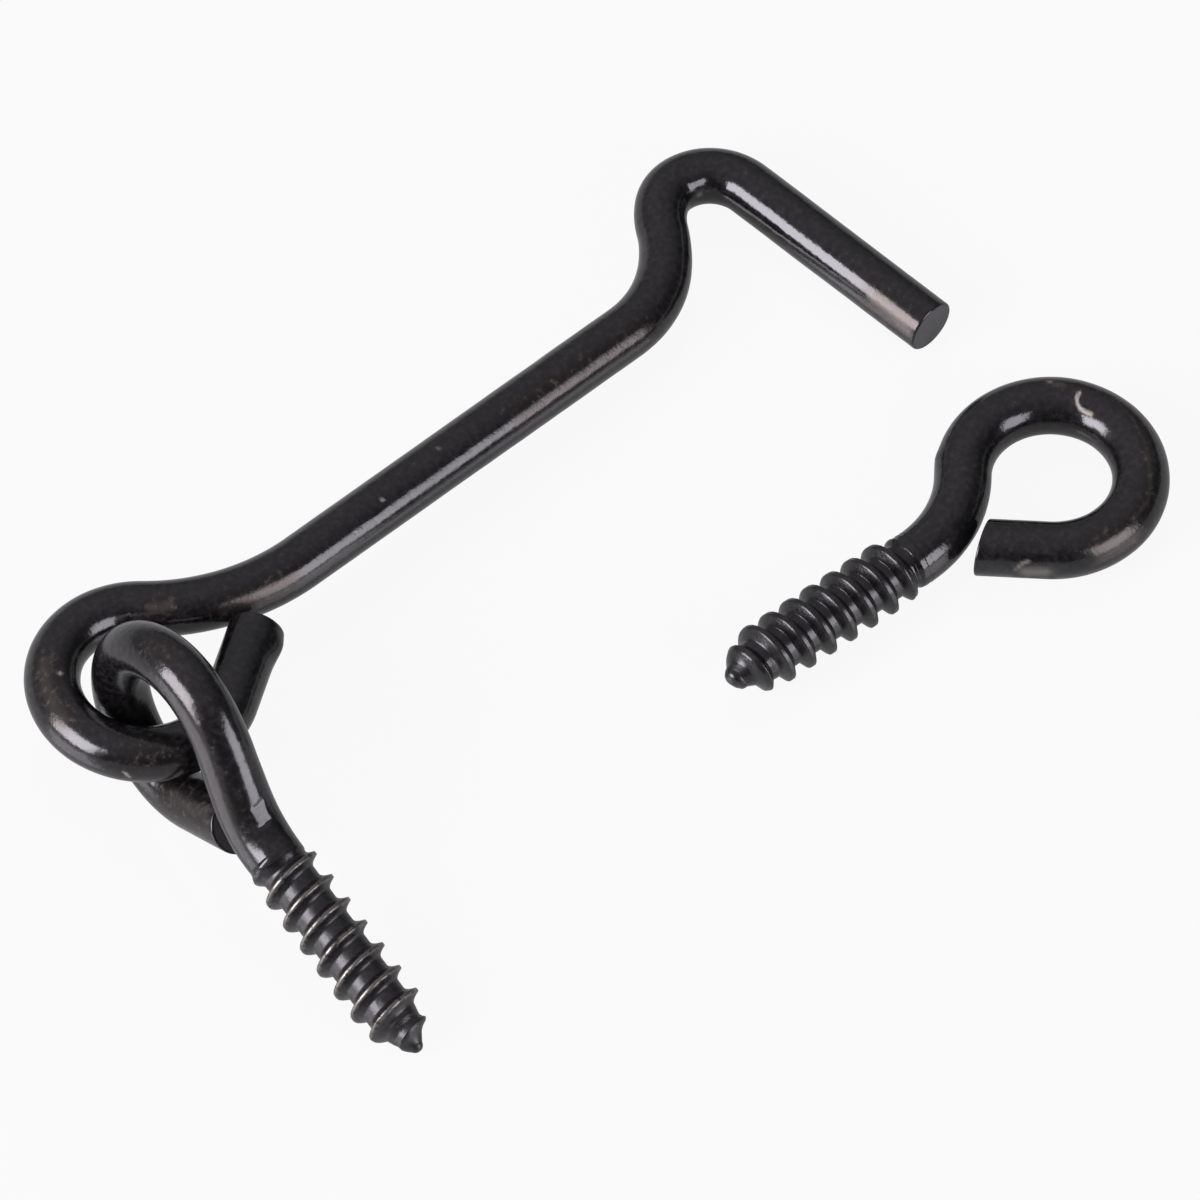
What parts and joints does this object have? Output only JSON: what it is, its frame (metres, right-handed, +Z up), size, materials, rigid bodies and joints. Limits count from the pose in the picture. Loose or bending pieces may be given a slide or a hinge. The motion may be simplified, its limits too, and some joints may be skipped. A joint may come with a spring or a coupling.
{
  "type": "hook and eye latch",
  "caption": "Bent wire cabin hook with a closed eye, straight arm and prong, linked through a screw eye, with a matching loose screw eye as its catch.",
  "frame": {"origin": "under the middle of the three pieces' bounding box, on the table they lie on", "axes": "+X along the hook's arm from its eye to its prong, +Y from the prong's cut end to the swan neck, +Z up from the table"},
  "size_m": [0.0874, 0.0528, 0.0188],
  "materials": {
    "hook": "black lacquered steel wire, semi-gloss, rubbed at the edges",
    "hinge_eye": "black lacquered steel wire, semi-gloss, rubbed at the edges",
    "catch_eye": "black lacquered steel wire, semi-gloss, rubbed at the edges"
  },
  "bodies": {
    "hinge_eye": {"hinge_eye": "hinge_eye"},
    "hook": {"hook": "hook"},
    "catch_eye": {"catch_eye": "catch_eye"}
  },
  "joints": [
    {"name": "hook_swing", "type": "hinge", "parent": "hinge_eye", "child": "hook", "pos_m": [-0.03428, 0.01529, 0.0071], "axis": [0.0673, 0, 0.9977], "range_deg": [-5, 210]},
    {"name": "catch_lift", "type": "slide", "parent": "hinge_eye", "child": "catch_eye", "axis": [0, 0, 1], "range_m": [0, 0.03]}
  ]
}
